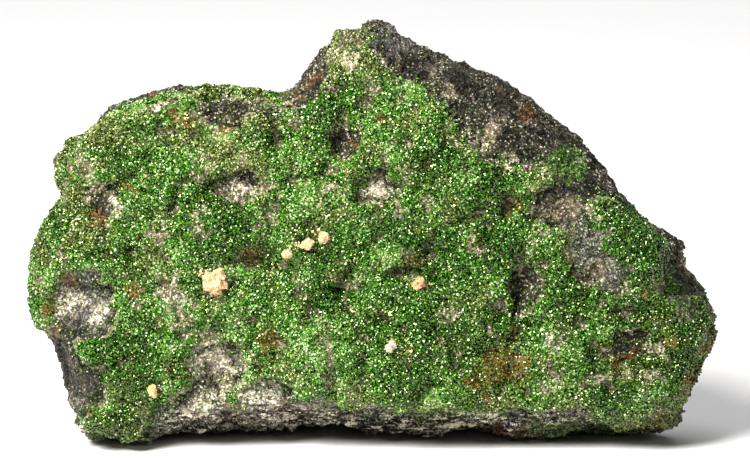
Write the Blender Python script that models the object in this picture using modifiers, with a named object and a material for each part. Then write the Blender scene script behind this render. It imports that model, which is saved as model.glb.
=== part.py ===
"""Uvarovite garnet: a crust of small green crystals on a broken block of dark
chromite rock, with a few pale calcite crumbs. Metres, +Z up, standing on z = 0.

The block is shaped in the frame of its broad front face, in millimetres: u runs
right along the face, v runs up it and t comes out of it. The whole piece then
leans back by LEAN and is cut flat where it touches the ground.
"""

import math

import bmesh
import bpy
import numpy as np
from mathutils import Matrix, Vector, noise
from mathutils.bvhtree import BVHTree

MM = 0.001

# Driving sizes, in millimetres unless the name says otherwise.
FACE_T = 15.0  # how far the broad front face stands out
BACK_DEPTH = 16.5  # how far the back stands behind the middle plane
LEAN_DEG = 10.0  # the face leans back by this much
VOXEL = 1.0  # cell of the even mesh that is shaped
WIDEST_AT = 0.65  # share of the depth, from the back, where the outline is widest
TAPER = 0.13  # how much narrower the back is than the outline
SIDE_ROUGH = 2.2  # depth of the ledges on the sides
BACK_ROUGH = 4.2  # depth of the dished fractures on the back
ROCK_TRIANGLES = 4300
FRONT_KEEP = 0.80  # how strongly thinning out spares the front, from 0 to 1
BACK_KEEP = 0.35
CRUST_GAP = 0.40  # clearance between rock and crust, along the growth direction
LEAST_GAP = 0.30  # no corner of the crust comes nearer to the rock than this
CRUST_THICK = 0.95
CRUST_ROUGH = 0.30  # the crystal tips end this much higher or lower
CRUST_FLOOR = 1.0  # the crust stays this far off the ground
FACING = 0.22  # a face turned at least this much to the front is covered
TURNED_AWAY = -0.15  # and down to this where its neighbours are covered
CRUMB_GAP = 0.42

# The silhouette of the block seen square on its face, clockwise from the left tip.
OUTLINE = (
    (-52.2, 43.8), (-48.8, 46.2), (-47.1, 47.7), (-43.4, 50.9), (-41.6, 52.6),
    (-39.8, 53.8), (-37.8, 53.7), (-36.9, 54.7), (-35.5, 55.2), (-32.6, 55.1),
    (-31.3, 56.0), (-30.2, 56.0), (-29.0, 55.3), (-23.2, 56.0), (-17.9, 55.2),
    (-16.2, 54.6), (-14.9, 54.6), (-13.4, 55.2), (-11.8, 56.3), (-11.6, 58.0),
    (-10.3, 59.1), (-10.0, 60.4), (-7.2, 62.9), (-6.5, 64.7), (-4.6, 65.2),
    (-1.1, 65.5), (-0.3, 66.0), (1.2, 66.0), (2.5, 65.3), (4.2, 63.4),
    (6.6, 61.6), (9.3, 61.0), (10.6, 60.5), (11.6, 59.6), (13.2, 59.2),
    (15.7, 57.9), (20.0, 57.2), (21.4, 55.4), (23.6, 54.5), (28.2, 50.3),
    (32.5, 47.1), (33.4, 45.4), (36.3, 42.6), (37.4, 39.7), (40.4, 36.0),
    (43.5, 33.7), (49.3, 30.3), (49.2, 27.5), (52.2, 24.9), (53.9, 21.6),
    (55.2, 18.0), (55.1, 16.5), (53.2, 14.0), (52.8, 12.2), (51.6, 10.6),
    (51.5, 8.6), (51.0, 7.0), (49.1, 4.8), (49.0, 2.7), (48.1, 1.7),
    (46.8, 0.9), (43.0, 0.5), (37.9, -0.4), (33.8, -0.3), (27.7, -0.8),
    (23.8, -1.0), (17.0, -0.7), (13.2, -0.6), (8.1, 0.1), (2.2, 0.0),
    (0.4, 0.3), (-2.4, 0.8), (-2.1, 1.6), (-4.7, 1.8), (-5.7, 2.2),
    (-9.8, 2.2), (-11.6, 1.4), (-15.4, 0.5), (-20.0, 0.7), (-24.3, 0.0),
    (-27.4, -0.1), (-31.2, 0.3), (-34.2, 0.1), (-36.0, -2.0), (-37.5, -2.0),
    (-43.4, -1.1), (-45.0, -0.8), (-46.2, 0.0), (-46.7, 2.2), (-48.5, 4.3),
    (-49.8, 7.3), (-50.3, 9.4), (-52.1, 14.5), (-54.9, 19.3), (-55.6, 25.9),
    (-55.2, 29.5), (-52.6, 33.6), (-52.2, 35.1), (-50.6, 37.4), (-50.2, 40.3),
    (-51.1, 41.5),
)

# Lumps and hollows of the front face: centre u, v, half widths along u and v, height.
LUMPS = (
    (-24.5, 31.7, 7.4, 6.4, 2.9),  # round boss left of the middle
    (-50.0, 43.7, 3.6, 3.0, 1.2),  # left tip
    (-39.0, 44.0, 5.0, 4.0, 1.3),
    (-31.0, 52.5, 8.0, 4.0, 1.7),  # brow of the left shoulder
    (-20.0, 51.0, 6.0, 5.0, 1.4),
    (-42.5, 29.5, 5.0, 5.0, 1.4),
    (-39.0, 13.3, 6.5, 6.0, 1.3),
    (-1.6, 58.5, 6.0, 5.0, 1.4),  # below the peak
    (2.4, 45.3, 7.5, 5.0, 1.8),
    (13.3, 40.0, 5.2, 4.6, 2.3),  # bright boss beside the bare slope
    (5.0, 34.0, 6.0, 5.0, 1.2),
    (16.8, 22.9, 6.5, 8.0, 1.9),
    (-9.1, 13.0, 6.5, 7.5, 2.2),  # broad boss low in the middle
    (-9.5, 33.0, 6.0, 6.0, 1.0),
    (4.0, 10.0, 8.0, 6.0, 1.4),
    (26.4, 40.8, 4.5, 3.2, 1.3),
    (40.8, 28.5, 7.5, 6.5, 2.6),  # right bulge
    (29.6, 13.3, 7.0, 6.0, 1.4),
    (44.0, 8.5, 6.0, 5.0, 1.3),
    (51.3, 17.5, 3.2, 4.5, 1.6),  # right end
    (-41.0, 1.6, 6.0, 4.6, 2.0),  # left foot
)
HOLLOWS = (
    (-21.6, 38.8, 6.5, 2.2, 1.2),  # trough over the boss
    (-19.2, 28.6, 3.4, 2.0, 1.7),  # gash under the boss
    (-30.5, 36.5, 2.0, 3.0, 1.0),
    (-46.0, 20.8, 5.0, 5.4, 1.7),  # scar where the crust broke off
    (-42.0, 37.5, 2.6, 5.0, 1.1),
    (-23.5, 50.3, 3.6, 2.6, 1.0),
    (-14.9, 47.2, 3.0, 3.0, 2.1),  # pocket
    (-6.2, 56.0, 2.6, 5.0, 1.3),  # groove below the peak
    (-4.3, 46.6, 2.6, 2.0, 1.6),
    (-0.3, 40.0, 3.0, 2.6, 0.9),
    (20.6, 36.5, 1.9, 3.0, 2.6),  # pit beside the boss
    (19.0, 41.6, 2.4, 1.4, 1.4),
    (28.8, 36.2, 4.4, 3.2, 1.2),
    (34.0, 27.5, 2.4, 7.5, 1.5),  # grey trough left of the right bulge
    (38.8, 19.8, 3.5, 2.2, 1.6),
    (39.2, 14.0, 6.0, 2.6, 1.2),
    (22.6, 24.0, 2.4, 7.5, 1.5),
    (4.3, 25.6, 3.2, 1.8, 2.0),  # hollow over the peach crumb
    (-4.0, 23.5, 4.0, 3.0, 1.1),
    (-29.5, 19.0, 2.4, 5.0, 1.1),
    (-24.5, 9.5, 4.2, 5.0, 1.6),
    (-16.8, 5.6, 4.8, 4.0, 1.3),
    (-6.9, 5.5, 1.6, 3.6, 1.0),
    (27.5, 15.0, 3.0, 2.4, 0.9),
    (8.2, 30.0, 2.4, 2.6, 1.1),
    (-34.3, 5.0, 2.2, 5.0, 1.7),  # notch between the foot and the face
    (46.8, 27.0, 1.6, 4.0, 1.0),
)

# Where bare rock shows through the crust: centre u, v and half widths.
BARE_SPOTS = (
    (-46.0, 20.8, 4.0, 4.6),
    (-23.5, 50.6, 3.4, 2.0),
    (-11.6, 57.0, 3.4, 4.2),
    (-4.6, 46.9, 2.4, 1.6),
    (-0.2, 38.8, 2.4, 2.2),
    (28.8, 36.2, 3.2, 2.4),
    (33.0, 29.5, 1.8, 5.0),
    (37.4, 24.6, 2.8, 1.6),
    (47.6, 26.6, 2.2, 3.4),
    (-24.6, 11.2, 3.4, 3.4),
    (-16.8, 5.4, 4.0, 3.6),
    (-26.5, 4.0, 4.0, 2.6),
    (-49.6, 9.8, 2.8, 5.6),
    (-44.6, 8.2, 2.8, 2.2),
    (39.2, 14.0, 3.2, 1.6),
    (23.2, 23.0, 1.5, 3.8),
    (-21.8, 38.8, 3.4, 1.3),
    (-42.6, 37.0, 1.6, 2.6),
)
# The bare slope at the upper right lies beyond this line of u, v points.
BARE_SLOPE_EDGE = (
    (-4.0, 70.0), (2.4, 56.6), (8.8, 56.4), (9.4, 53.8), (12.8, 51.0),
    (15.2, 47.4), (17.0, 43.8), (22.6, 42.8), (26.0, 43.6), (30.0, 40.8),
    (33.5, 38.0), (38.0, 37.0), (43.0, 33.0), (60.0, 24.0),
)
BARE_BELOW_V = 4.0  # the crust ends above the bevelled lower edge
GREEN_FOOT_U = -35.0  # left of this the foot carries crust down to the ground

# The calcite crumbs: centre u, v, half widths along u and v, height, turn in degrees.
CRUMBS = (
    (-25.0, 24.4, 1.9, 1.5, 1.5, 20.0),
    (-34.7, 7.4, 0.6, 1.0, 0.8, 15.0),
    (-13.7, 28.6, 0.7, 0.65, 0.8, 0.0),
    (-10.6, 30.2, 1.3, 0.6, 0.9, 12.0),
    (-7.9, 31.2, 0.75, 0.85, 0.9, -20.0),
    (6.9, 24.2, 1.1, 0.75, 1.0, 10.0),
    (2.7, 14.5, 0.9, 0.7, 0.8, 30.0),
)

LEAN = Matrix.Rotation(math.radians(90.0 - LEAN_DEG), 4, "X")


def clear_scene():
    for obj in list(bpy.data.objects):
        bpy.data.objects.remove(obj, do_unlink=True)


def collection(name):
    made = bpy.data.collections.new(name)
    bpy.context.scene.collection.children.link(made)
    return made


def material(name, colour, roughness, transmission=0.0):
    made = bpy.data.materials.new(name)
    made.use_nodes = True
    shader = made.node_tree.nodes["Principled BSDF"]
    shader.inputs["Base Color"].default_value = (*colour, 1.0)
    shader.inputs["Roughness"].default_value = roughness
    shader.inputs["Metallic"].default_value = 0.0
    shader.inputs["Transmission Weight"].default_value = transmission
    return made


def bake_modifiers(obj):
    """Replaces the object's mesh with what its modifiers make of it."""
    graph = bpy.context.evaluated_depsgraph_get()
    mesh = bpy.data.meshes.new_from_object(obj.evaluated_get(graph))
    obj.modifiers.clear()
    obj.data = mesh


def points_of(mesh):
    flat = np.empty(len(mesh.vertices) * 3)
    mesh.vertices.foreach_get("co", flat)
    return flat.reshape(-1, 3)


def set_points(mesh, points):
    mesh.vertices.foreach_set("co", np.asarray(points, np.float32).ravel())
    mesh.update()


def smooth_step(low, high, x):
    x = np.clip((x - low) / (high - low), 0.0, 1.0)
    return x * x * (3.0 - 2.0 * x)


def soft_min(a, b, width):
    """The lower of two surfaces, with the edge between them rounded."""
    near = np.clip(0.5 + 0.5 * (b - a) / width, 0.0, 1.0)
    return b + (a - b) * near - width * near * (1.0 - near)


def dome(u, v, centre_u, centre_v, half_u, half_v):
    """1 at the centre of an ellipse, falling smoothly to 0 on its edge."""
    r2 = ((u - centre_u) / half_u) ** 2 + ((v - centre_v) / half_v) ** 2
    return np.clip(1.0 - r2, 0.0, 1.0) ** 1.5


def fractal(points, cell, octaves, shift):
    """Fractal noise from about -1 to 1 with lumps of this size."""
    offset = Vector((shift, 1.7 * shift, -shift))
    return np.array([
        noise.fractal(Vector(p) / cell + offset, 0.6, 2.1, octaves) for p in points
    ])


def scallops(points, cell, shift):
    """Shallow dishes of this width with sharp ridges between them, 0 to about 1."""
    offset = Vector((shift, -shift, 1.3 * shift))
    return np.array([
        noise.voronoi(Vector(p) / cell + offset)[0][0] for p in points
    ])


def to_outline(u, v):
    """Each point's distance to the outline, and the outward direction there."""
    ring = np.array(OUTLINE)
    best = np.full(len(u), 1e9)
    out = np.zeros((len(u), 2))
    for (au, av), (bu, bv) in zip(ring, np.roll(ring, -1, axis=0)):
        along = np.array((bu - au, bv - av))
        length = np.hypot(*along)
        share = ((u - au) * along[0] + (v - av) * along[1]) / length**2
        share = np.clip(share, 0.0, 1.0)
        distance = np.hypot(u - au - share * along[0], v - av - share * along[1])
        nearer = distance < best
        best[nearer] = distance[nearer]
        out[nearer] = np.array((-along[1], along[0])) / length
    return best, out


def beyond_slope_edge(u, v):
    """How far above the edge of the bare slope a point lies, measured along v."""
    edge = np.array(BARE_SLOPE_EDGE)
    return np.where(u < edge[0, 0], -9.0, v - np.interp(u, edge[:, 0], edge[:, 1]))


def front_height(u, v, rim):
    """t of the front face. rim is the distance to the outline."""
    slope = (u - 16.8) * 0.527 + (v - 45.3) * 0.85 - 2.0
    high = soft_min(np.full_like(u, FACE_T), FACE_T + 0.4 - 0.85 * slope, 2.0)
    high = soft_min(high, FACE_T + 1.0 - 1.0 * (u - 45.5), 2.0)
    side_facet = smooth_step(3.0, 6.0, v) * smooth_step(16.0, 13.0, v)
    high -= 1.8 * side_facet * np.clip(-47.6 - u, 0.0, 5.0)
    bevel = 5.0 + 1.75 * (v + 1.0) + 9.0 * smooth_step(-33.5, -36.0, u)
    high = soft_min(high, bevel, 2.0)
    foot = dome(u, v, -41.0, 1.6, 8.0, 7.0)
    high -= 2.6 * foot * smooth_step(-33.5, -36.0, u)
    for centre_u, centre_v, half_u, half_v, height in LUMPS:
        high += height * dome(u, v, centre_u, centre_v, half_u * 1.25, half_v * 1.25)
    for centre_u, centre_v, half_u, half_v, depth in HOLLOWS:
        high -= depth * dome(u, v, centre_u, centre_v, half_u * 1.2, half_v * 1.2)
    on_slope = smooth_step(-2.0, 2.0, beyond_slope_edge(u, v))
    on_bevel = smooth_step(6.0, 2.0, v)
    shoulder = (5.0 - 3.0 * on_slope) * (1.0 - 0.7 * on_bevel)
    return high - shoulder * (1.0 - smooth_step(0.0, 6.5, rim)) ** 2


def back_height(u, v):
    """t of the broken back: a few tilted faces with soft edges between them."""
    deep = BACK_DEPTH + 0.10 * (u + 10.0) - 0.05 * (v - 30.0)
    for plane in (
        BACK_DEPTH - 1.0 - 0.32 * (u - 16.0),
        BACK_DEPTH - 0.5 + 0.36 * (u + 22.0),
        BACK_DEPTH - 1.0 - 0.45 * (v - 36.0),
        BACK_DEPTH + 0.5 + 0.50 * (v - 7.0),
        BACK_DEPTH + 0.5 - 0.42 * (0.6 * (u - 8.0) + 0.8 * (v - 30.0)),
        BACK_DEPTH + 1.5 + 0.40 * (0.5 * (u + 24.0) - 0.87 * (v - 34.0)),
    ):
        deep = soft_min(deep, plane, 0.6)
    return -deep


def outline_slab():
    """The outline as a flat curve, extruded and meshed in even cells."""
    curve = bpy.data.curves.new("outline", "CURVE")
    curve.dimensions = "2D"
    curve.fill_mode = "BOTH"
    curve.extrude = 0.5 * (FACE_T + BACK_DEPTH)
    spline = curve.splines.new("POLY")
    spline.points.add(len(OUTLINE) - 1)
    for point, (u, v) in zip(spline.points, OUTLINE):
        point.co = (u, v, 0.0, 1.0)
    spline.use_cyclic_u = True
    flat = bpy.data.objects.new("outline", curve)
    bpy.context.scene.collection.objects.link(flat)
    graph = bpy.context.evaluated_depsgraph_get()
    mesh = bpy.data.meshes.new_from_object(flat.evaluated_get(graph))
    bpy.data.objects.remove(flat)
    welded = bmesh.new()
    welded.from_mesh(mesh)
    bmesh.ops.remove_doubles(welded, verts=welded.verts, dist=0.0001)
    bmesh.ops.recalc_face_normals(welded, faces=welded.faces)
    welded.to_mesh(mesh)
    welded.free()
    slab = bpy.data.objects.new("chromite_matrix", mesh)
    bpy.context.scene.collection.objects.link(slab)
    remesh = slab.modifiers.new("even cells", "REMESH")
    remesh.mode = "VOXEL"
    remesh.voxel_size = VOXEL
    bake_modifiers(slab)
    return slab


def shape_block(slab):
    """Moves the even mesh onto the front, the back and the broken sides."""
    points = points_of(slab.data)
    u, v = points[:, 0].copy(), points[:, 1].copy()
    half = 0.5 * (FACE_T + BACK_DEPTH)
    share = np.clip((points[:, 2] + half) / (2.0 * half), 0.0, 1.0)
    rim, out = to_outline(u, v)
    wall = 1.0 - smooth_step(0.0, 4.0, rim)

    # The back is narrower; the sides step in and out in ledges but stay inside
    # the outline, and the crust's own thickness is left free along the green edge.
    behind = np.clip(1.0 - share / WIDEST_AT, 0.0, 1.0)
    scale = 1.0 - TAPER * behind**2
    depth = share * 2.0 * half
    along_side = np.stack((u, v, 1.6 * depth), 1)
    ledges = 0.7 * fractal(along_side, 11.0, 3, 3.0) - 0.9 * scallops(along_side, 10.0, 7.0)
    away = smooth_step(0.0, 0.35, np.abs(share - WIDEST_AT))
    inward = SIDE_ROUGH * np.clip(0.95 + ledges, 0.0, 1.2) * away
    bare_edge = np.maximum(
        smooth_step(-2.0, 1.0, beyond_slope_edge(u, v)),
        smooth_step(3.0, 1.5, v) * smooth_step(-36.5, -34.0, u),
    )
    inward += 0.75 * (1.0 - bare_edge)
    u_new = (u - out[:, 0] * inward * wall) * scale
    v_new = (v - out[:, 1] * inward * wall) * scale

    rough_at = np.stack((u, v, 30.0 * share), 1)
    calm = 0.45 + 0.55 * smooth_step(0.0, 4.0, rim)
    front = front_height(u, v, rim)
    front += calm * (
        0.7 * fractal(rough_at, 9.0, 2, 11.0)
        + 0.8 * fractal(rough_at, 3.4, 2, 5.0)
        + 1.1 * (scallops(rough_at, 6.0, 2.0) - 0.5)
    )
    back = back_height(u, v)
    back += 0.9 * fractal(rough_at, 13.0, 3, 21.0) + 0.5 * fractal(rough_at, 5.0, 2, 8.0)
    back -= BACK_ROUGH * (scallops(rough_at, 13.0, 4.0) - 0.5)
    back = np.minimum(back, front - 8.0)
    t_new = back + (front - back) * share
    set_points(slab.data, np.stack((u_new, v_new, t_new), 1) * MM)


def thin_out(block):
    """Fewer, larger faces at the back and sides than on the front."""
    points = points_of(block.data) / MM
    group = block.vertex_groups.new(name="front")
    for index, t in enumerate(points[:, 2]):
        keep = BACK_KEEP + (FRONT_KEEP - BACK_KEEP) * float(smooth_step(-4.0, 4.0, t))
        group.add([index], keep, "REPLACE")
    fewer = block.modifiers.new("thin out", "DECIMATE")
    triangles = sum(len(face.vertices) - 2 for face in block.data.polygons)
    fewer.ratio = ROCK_TRIANGLES / triangles
    fewer.vertex_group = group.name
    fewer.vertex_group_factor = 1.0
    fewer.invert_vertex_group = True
    fewer.use_collapse_triangulate = True
    bake_modifiers(block)
    block.vertex_groups.clear()


def stand(block, cutters):
    """Leans the block back, roughens its underside and cuts it flat at z = 0."""
    block.data.transform(LEAN)
    points = points_of(block.data)
    graded = fractal(points / MM, 12.0, 2, 31.0)
    low = smooth_step(5.0, 0.0, points[:, 2] / MM)
    hidden = smooth_step(-3.0, 2.0, points[:, 1] / MM)
    points[:, 2] += MM * low * hidden * (0.9 + 1.6 * graded)
    set_points(block.data, points)

    bpy.ops.mesh.primitive_cube_add(size=1.0)
    ground = bpy.context.object
    ground.name = "ground_cutter"
    ground.data.transform(Matrix.Diagonal((0.3, 0.3, 0.04, 1.0)))
    ground.data.transform(Matrix.Translation((0.0, 0.0, -0.02)))
    for old in list(ground.users_collection):
        old.objects.unlink(ground)
    cutters.objects.link(ground)
    ground.hide_render = True
    ground.display_type = "WIRE"
    cut = block.modifiers.new("cut at the ground", "BOOLEAN")
    cut.operation = "DIFFERENCE"
    cut.solver = "EXACT"
    cut.object = ground
    bake_modifiers(block)

    # Whatever the cut leaves loose or doubled is cleaned away.
    clean = bmesh.new()
    clean.from_mesh(block.data)
    bmesh.ops.remove_doubles(clean, verts=clean.verts, dist=0.00002)
    bmesh.ops.dissolve_degenerate(clean, edges=clean.edges, dist=0.00001)
    bmesh.ops.triangulate(clean, faces=clean.faces)
    keep_largest(clean)
    clean.to_mesh(block.data)
    clean.free()


def linked_faces(face):
    """The faces reached from this one over shared edges."""
    found, edge_of = {face}, [face]
    while edge_of:
        for edge in edge_of.pop().edges:
            for other in edge.link_faces:
                if other not in found:
                    found.add(other)
                    edge_of.append(other)
    return found


def keep_largest(mesh):
    """Keeps only the largest connected set of faces."""
    left, largest = set(mesh.faces), set()
    while left:
        part = linked_faces(next(iter(left)))
        left -= part
        if len(part) > len(largest):
            largest = part
    loose = [face for face in mesh.faces if face not in largest]
    bmesh.ops.delete(mesh, geom=loose, context="FACES")


def may_carry_crust(centre, lowest_z):
    """Whether the druse could grow at this place, whichever way the rock faces."""
    if lowest_z < CRUST_FLOOR * MM:
        return False
    u, v = np.array([centre.x / MM]), np.array([centre.y / MM])
    if beyond_slope_edge(u, v)[0] > 0.0:
        return False
    if v[0] < BARE_BELOW_V and u[0] > GREEN_FOOT_U and u[0] < 34.0:
        return False
    return not any(
        ((u[0] - cu) / hu) ** 2 + ((v[0] - cv) / hv) ** 2 < 1.0
        for cu, cv, hu, hv in BARE_SPOTS
    )


def trim_ragged(mesh):
    """Drops faces that hang on by one edge or meet the rest only at a point."""
    while True:
        thin = [f for f in mesh.faces if sum(len(e.link_faces) == 2 for e in f.edges) < 2]
        for vert in mesh.verts:
            fans, left = [], set(vert.link_faces)
            while left:
                fan, queue = set(), [next(iter(left))]
                while queue:
                    face = queue.pop()
                    fan.add(face)
                    for edge in face.edges:
                        if vert in edge.verts:
                            queue += [f for f in edge.link_faces if f not in fan]
                left -= fan
                fans.append(fan)
            if len(fans) > 1:
                thin += min(fans, key=len)
        if not thin:
            return
        bmesh.ops.delete(mesh, geom=list(set(thin)), context="FACES")


def tree_of(obj, frame):
    """A search tree of the object's faces, moved into this frame."""
    corners = [frame @ v.co for v in obj.data.vertices]
    return BVHTree.FromPolygons(corners, [tuple(f.vertices) for f in obj.data.polygons])


def grow_crust(block):
    """The druse: the covered front faces of the block, lifted off and thickened."""
    upright = LEAN.inverted()
    patch = bmesh.new()
    patch.from_mesh(block.data)
    patch.normal_update()
    covered, edgewise = set(), set()
    for face in patch.faces:
        towards = (upright.to_3x3() @ face.normal).z
        centre = upright @ face.calc_center_median()
        if towards > TURNED_AWAY and may_carry_crust(centre, min(v.co.z for v in face.verts)):
            (covered if towards > FACING else edgewise).add(face)
    for _ in range(3):
        covered |= {
            face for face in edgewise
            if sum(bool(covered.intersection(e.link_faces)) for e in face.edges) > 1
        }
    bare = [face for face in patch.faces if face not in covered]
    bmesh.ops.delete(patch, geom=bare, context="FACES")
    trim_ragged(patch)
    keep_largest(patch)
    loose = [v for v in patch.verts if not v.link_faces]
    bmesh.ops.delete(patch, geom=loose, context="VERTS")

    # The crystals grow along the surface's direction, leaning towards the viewer.
    patch.normal_update()
    out_of_face = LEAN.to_3x3() @ Vector((0.0, 0.0, 1.0))
    home = patch.verts.layers.int.new("home")
    growth = []
    for number, vert in enumerate(patch.verts):
        vert[home] = number
        growth.append((vert.normal + out_of_face).normalized())
    for vert in patch.verts:
        vert.co += growth[vert[home]] * CRUST_GAP * MM
    rooted = list(patch.faces)
    grown = bmesh.ops.extrude_face_region(patch, geom=rooted, use_keep_orig=True)
    for vert in grown["geom"]:
        if isinstance(vert, bmesh.types.BMVert):
            uneven = noise.noise(vert.co / (1.1 * MM)) * CRUST_ROUGH
            vert.co += growth[vert[home]] * (CRUST_THICK + uneven) * MM
    rock = tree_of(block, Matrix())
    for _ in range(4):
        for vert in patch.verts:
            near, normal = rock.find_nearest(vert.co)[:2]
            short = LEAST_GAP * MM - (vert.co - near).dot(normal)
            if short > 0.0:
                vert.co += growth[vert[home]] * (short + 0.05 * MM)
    bmesh.ops.recalc_face_normals(patch, faces=patch.faces)
    mesh = bpy.data.meshes.new("uvarovite_druse")
    patch.to_mesh(mesh)
    patch.free()
    return bpy.data.objects.new("uvarovite_druse", mesh)


def seat_crumb(number, centre_u, centre_v, half_u, half_v, height, turn, ground):
    """A lumpy grain lying on whatever the rock and the crust offer under it."""
    shape = bmesh.new()
    bmesh.ops.create_icosphere(shape, subdivisions=2, radius=1.0)
    for vert in shape.verts:
        lump = 1.0 + 0.28 * noise.noise(vert.co * 1.3 + Vector((number * 3.1, 0.0, 0.0)))
        vert.co *= lump
    shape.transform(Matrix.Diagonal((half_u, half_v, height, 1.0)))
    shape.transform(Matrix.Rotation(math.radians(turn), 4, "Z"))
    towards = Vector((0.0, 0.0, -1.0))
    tops = []
    for vert in shape.verts:
        start = Vector((vert.co.x + centre_u, vert.co.y + centre_v, 60.0)) * MM
        hits = [tree.ray_cast(start, towards)[0] for tree in ground]
        tops.append(max(hit.z for hit in hits if hit is not None) / MM)
    seat = sum(tops) / len(tops) + CRUMB_GAP
    for vert, top in zip(shape.verts, tops):
        low = min(1.0, 0.5 * (1.0 - vert.co.z / height))
        vert.co.z = max(seat + 0.55 * height + vert.co.z, top + CRUMB_GAP + (1.0 - low) * 0.6 * height)
        vert.co.x += centre_u
        vert.co.y += centre_v
    shape.transform(LEAN @ Matrix.Scale(MM, 4))
    bmesh.ops.recalc_face_normals(shape, faces=shape.faces)
    name = f"calcite_crumb_{number}"
    mesh = bpy.data.meshes.new(name)
    shape.to_mesh(mesh)
    shape.free()
    return bpy.data.objects.new(name, mesh)


def main():
    clear_scene()
    specimen = collection("uvarovite_specimen")
    cutters = collection("cutters")
    rock = material("chromite rock", (0.085, 0.074, 0.060), 0.78)
    garnet = material("uvarovite garnet", (0.022, 0.150, 0.020), 0.18)
    calcite = material("calcite", (0.80, 0.52, 0.30), 0.50)

    block = outline_slab()
    shape_block(block)
    thin_out(block)
    stand(block, cutters)
    crust = grow_crust(block)
    upright = LEAN.inverted()
    ground = [tree_of(obj, upright) for obj in (block, crust)]
    crumbs = [seat_crumb(i, *crumb, ground) for i, crumb in enumerate(CRUMBS, 1)]

    bpy.context.scene.collection.objects.unlink(block)
    for obj, coat in [(block, rock), (crust, garnet)] + [(c, calcite) for c in crumbs]:
        specimen.objects.link(obj)
        obj.data.materials.clear()
        obj.data.materials.append(coat)
        obj.data.polygons.foreach_set("use_smooth", [False] * len(obj.data.polygons))

    # The origin is put under the middle of the specimen, on the ground.
    everything = np.concatenate([points_of(obj.data) for obj in specimen.objects])
    middle = 0.5 * (everything.min(axis=0) + everything.max(axis=0))
    for obj in specimen.objects:
        obj.data.transform(Matrix.Translation((-middle[0], -middle[1], 0.0)))
    print("face frame moved by", -middle[:2] / MM, "mm")


main()
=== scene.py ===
# %% [markdown]
# # A uvarovite garnet specimen
# A hand-sized block of dark chromite rock stands on its lower edge. Its broad
# front face carries a druse, a skin of thousands of half-millimetre emerald-green
# garnets, broken by patches of bare rock, by iron stains and by a few pale
# calcite crumbs. The solid model already has the right size and the big forms.
# This lesson dresses it: fine rock, a bed of green, the crystals, and the light.

import math

import bmesh
import bpy
import numpy as np
from mathutils import Matrix, Vector, noise
from mathutils.bvhtree import BVHTree
from mathutils.kdtree import KDTree


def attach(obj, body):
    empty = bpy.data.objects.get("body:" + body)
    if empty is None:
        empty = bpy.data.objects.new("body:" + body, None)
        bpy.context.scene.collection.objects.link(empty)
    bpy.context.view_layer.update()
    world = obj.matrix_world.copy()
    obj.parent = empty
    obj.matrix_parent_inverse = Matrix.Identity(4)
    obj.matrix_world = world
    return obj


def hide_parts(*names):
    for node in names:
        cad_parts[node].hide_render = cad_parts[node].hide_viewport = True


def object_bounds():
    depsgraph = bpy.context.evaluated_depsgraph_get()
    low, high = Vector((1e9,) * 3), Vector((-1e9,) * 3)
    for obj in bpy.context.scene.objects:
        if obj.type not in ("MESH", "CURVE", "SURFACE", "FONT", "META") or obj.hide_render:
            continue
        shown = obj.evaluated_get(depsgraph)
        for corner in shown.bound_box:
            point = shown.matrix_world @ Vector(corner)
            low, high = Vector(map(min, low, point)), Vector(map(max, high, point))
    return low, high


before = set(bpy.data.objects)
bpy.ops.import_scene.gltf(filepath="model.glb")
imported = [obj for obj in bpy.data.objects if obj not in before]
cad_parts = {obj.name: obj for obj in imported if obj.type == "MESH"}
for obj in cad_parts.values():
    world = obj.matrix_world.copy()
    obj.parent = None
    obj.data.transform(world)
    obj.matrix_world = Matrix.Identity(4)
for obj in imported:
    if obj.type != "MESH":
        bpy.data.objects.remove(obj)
cad_low, cad_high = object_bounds()
print("solid model:", [round(1000 * s, 1) for s in cad_high - cad_low], "mm")

# %% [markdown]
# The face of the specimen leans back by ten degrees. It is easiest to describe
# in its own flat frame: u to the right along the face, v up it and t out of it,
# all in millimetres. Places read off the photograph are given as its pixels,
# because one pixel covers the same length anywhere on the face.

# %% The frame of the face
MM = 0.001
MM_PER_PIXEL = 0.16
PIXEL_U0, PIXEL_V0 = 375.0, 433.0  # the pixel where u and v are zero
LEAN_DEG = 10.0
FACE_ORIGIN = Vector((-0.116, -3.486, 0.0)) * MM  # where u, v and t are zero
lean = Matrix.Rotation(math.radians(90.0 - LEAN_DEG), 3, "X")
lean_rows = np.array(lean)


def to_face(points):
    """World metres to u, v, t in millimetres."""
    return (points - np.array(FACE_ORIGIN)) @ lean_rows / MM


def from_pixels(spots):
    """(x, y, half width, half height) in pixels to the same in millimetres."""
    spots = np.array(spots, float)
    spots[:, 0] = (spots[:, 0] - PIXEL_U0) * MM_PER_PIXEL
    spots[:, 1] = (PIXEL_V0 - spots[:, 1]) * MM_PER_PIXEL
    spots[:, 2:4] *= MM_PER_PIXEL
    return spots


print("one pixel is", MM_PER_PIXEL, "mm")

# %% [markdown]
# Natural things have no straight borders. Each zone of colour is a handful of
# ellipses whose borders are pushed about by noise, and the result is stored on
# the mesh as an attribute from 0 to 1, which the materials then read. Each call
# of lumps gives its cell in millimetres, how many octaves of finer noise it
# adds, and a shift of its own, so that no two noises are alike.

# %% Small helpers for points, noise and zones
def points_of(mesh):
    flat = np.empty(len(mesh.vertices) * 3, np.float32)
    mesh.vertices.foreach_get("co", flat)
    return flat.reshape(-1, 3).astype(float)


def set_points(mesh, points):
    mesh.vertices.foreach_set("co", np.asarray(points, np.float32).ravel())
    mesh.update()


def normals_of(mesh):
    flat = np.empty(len(mesh.vertices) * 3, np.float32)
    mesh.vertex_normals.foreach_get("vector", flat)
    return flat.reshape(-1, 3).astype(float)


def smooth_step(low, high, x):
    x = np.clip((x - low) / (high - low), 0.0, 1.0)
    return x * x * (3.0 - 2.0 * x)


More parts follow.
